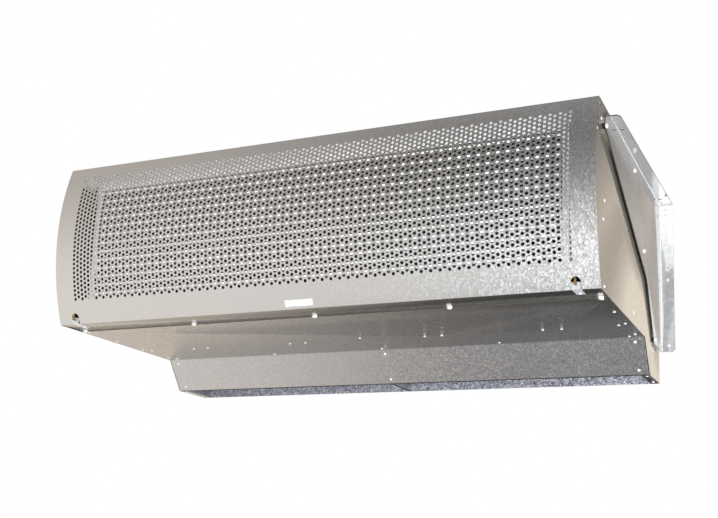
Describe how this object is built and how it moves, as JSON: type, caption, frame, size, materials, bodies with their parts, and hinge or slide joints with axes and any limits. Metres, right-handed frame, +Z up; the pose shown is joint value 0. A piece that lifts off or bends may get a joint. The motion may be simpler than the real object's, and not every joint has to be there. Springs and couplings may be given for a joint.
{
  "type": "air curtain",
  "caption": "Long wall or ceiling hung air curtain in galvanised sheet, with a hinged perforated intake cover, fans inside and a downward slot nozzle at the back.",
  "frame": {"origin": "middle of the wall mounting holes, on the wall plane", "axes": "+X along the unit to the right seen from the front, +Y from the front into the wall, +Z up; the outlet blows down along -Z"},
  "size_m": [1.589, 0.7928, 0.5576],
  "materials": {
    "galvanised_sheet": "spangled zinc, satin",
    "zinc_plated_steel": "satin",
    "brass": "satin",
    "plate_aluminium": "satin",
    "motor_aluminium": "satin",
    "motor_core": "lacquered windings",
    "filter_fleece": "matte",
    "black_rubber": "matte",
    "light_plastic": "matte",
    "black_plastic": "matte"
  },
  "bodies": {
    "casing": {"cover_hinge_pins": "zinc_plated_steel", "latch_tabs": "zinc_plated_steel", "latch_tab_rivets": "zinc_plated_steel", "left_side_panel": "galvanised_sheet", "right_side_panel": "galvanised_sheet", "top_panel": "galvanised_sheet", "rear_panel": "galvanised_sheet", "bottom_rail": "galvanised_sheet", "bottom_panel": "galvanised_sheet", "nozzle_front": "galvanised_sheet", "nozzle_end_plates": "galvanised_sheet", "nozzle_divider": "galvanised_sheet", "fan_deck": "galvanised_sheet", "left_bracket": "galvanised_sheet", "right_bracket": "galvanised_sheet", "bracket_spacers": "black_rubber", "bracket_bolts": "zinc_plated_steel", "rail_screws": "zinc_plated_steel", "bottom_rivets": "zinc_plated_steel", "nozzle_rivets": "zinc_plated_steel", "side_rivets": "zinc_plated_steel", "filter_frame": "galvanised_sheet", "filter_fleece": "filter_fleece", "filter_rails": "galvanised_sheet", "left_fan_housing": "galvanised_sheet", "right_fan_housing": "galvanised_sheet", "left_inlet_rings": "galvanised_sheet", "right_inlet_rings": "galvanised_sheet", "left_stator": "motor_core", "right_stator": "motor_core", "left_fan_shaft": "zinc_plated_steel", "right_fan_shaft": "zinc_plated_steel", "left_motor_spiders": "galvanised_sheet", "right_motor_spiders": "galvanised_sheet", "fan_feet": "galvanised_sheet", "terminal_box": "light_plastic", "terminal_box_lid": "light_plastic", "terminal_block": "light_plastic", "cable_gland": "black_plastic"},
    "cover": {"front_cover": "galvanised_sheet", "name_plate": "plate_aluminium"},
    "latch_left": {"latch_button_left": "brass"},
    "latch_right": {"latch_button_right": "brass"},
    "fan_left": {"left_impeller": "galvanised_sheet", "left_motor_can": "motor_aluminium", "left_bearings": "zinc_plated_steel"},
    "fan_right": {"right_impeller": "galvanised_sheet", "right_motor_can": "motor_aluminium", "right_bearings": "zinc_plated_steel"}
  },
  "joints": [
    {"name": "cover_hinge", "type": "hinge", "parent": "casing", "child": "cover", "pos_m": [0, -0.743, 0.229], "axis": [-1, 0, 0], "range_deg": [0, 85]},
    {"name": "latch_left_turn", "type": "hinge", "parent": "casing", "child": "latch_left", "pos_m": [-0.695, -0.75, -0.197], "axis": [0, 1, 0], "range_deg": [-90, 90]},
    {"name": "latch_right_turn", "type": "hinge", "parent": "casing", "child": "latch_right", "pos_m": [0.695, -0.75, -0.197], "axis": [0, 1, 0], "range_deg": [-90, 90]},
    {"name": "fan_left_spin", "type": "hinge", "parent": "casing", "child": "fan_left", "pos_m": [-0.374, -0.268, 0.028], "axis": [1, 0, 0], "continuous": true},
    {"name": "fan_right_spin", "type": "hinge", "parent": "casing", "child": "fan_right", "pos_m": [0.374, -0.268, 0.028], "axis": [1, 0, 0], "continuous": true}
  ]
}
